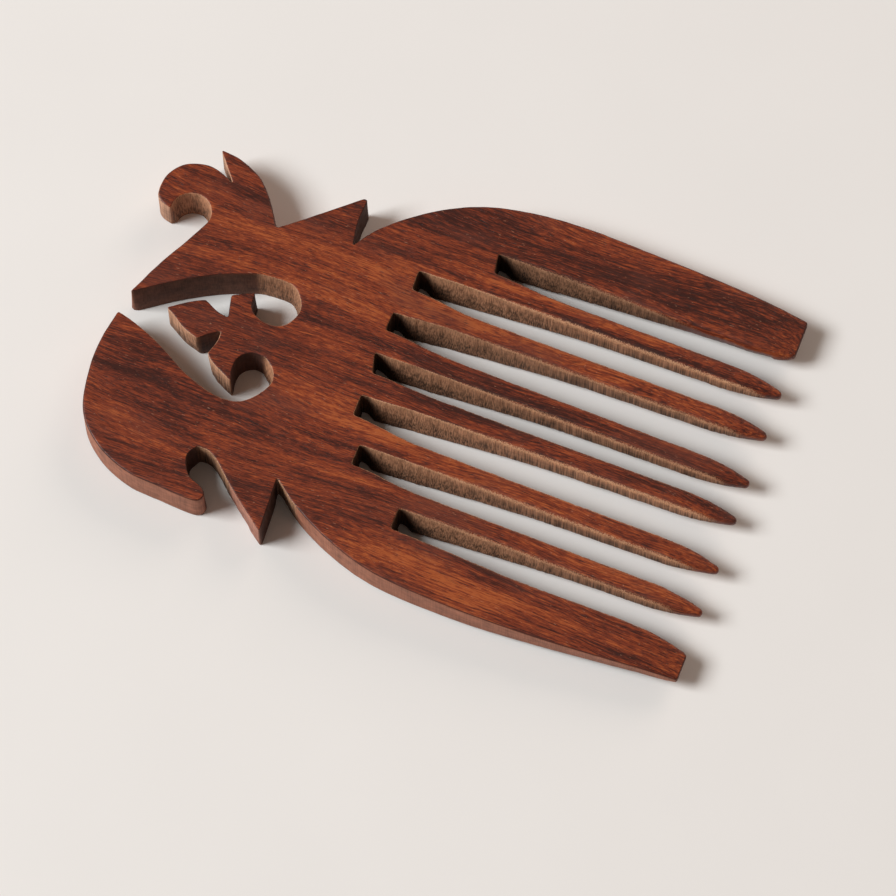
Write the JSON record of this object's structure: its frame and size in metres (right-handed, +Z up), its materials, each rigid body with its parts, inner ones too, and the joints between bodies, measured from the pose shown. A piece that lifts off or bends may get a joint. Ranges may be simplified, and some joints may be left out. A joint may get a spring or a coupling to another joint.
{
  "type": "wide tooth comb",
  "caption": "Hand comb cut from one flat wooden board: widely spaced tapering teeth and a pierced scroll handle.",
  "frame": {"origin": "centre of the bounding box, on the underside the comb lies on", "axes": "+X along the teeth from handle to tips, +Y across the comb, +Z up out of the broad face"},
  "size_m": [0.135, 0.087, 0.0085],
  "materials": {
    "rosewood": "oiled red-brown rosewood with dark grain streaks, satin; sawn walls paler and dry"
  },
  "bodies": {
    "root": {"comb": "rosewood"}
  },
  "joints": []
}
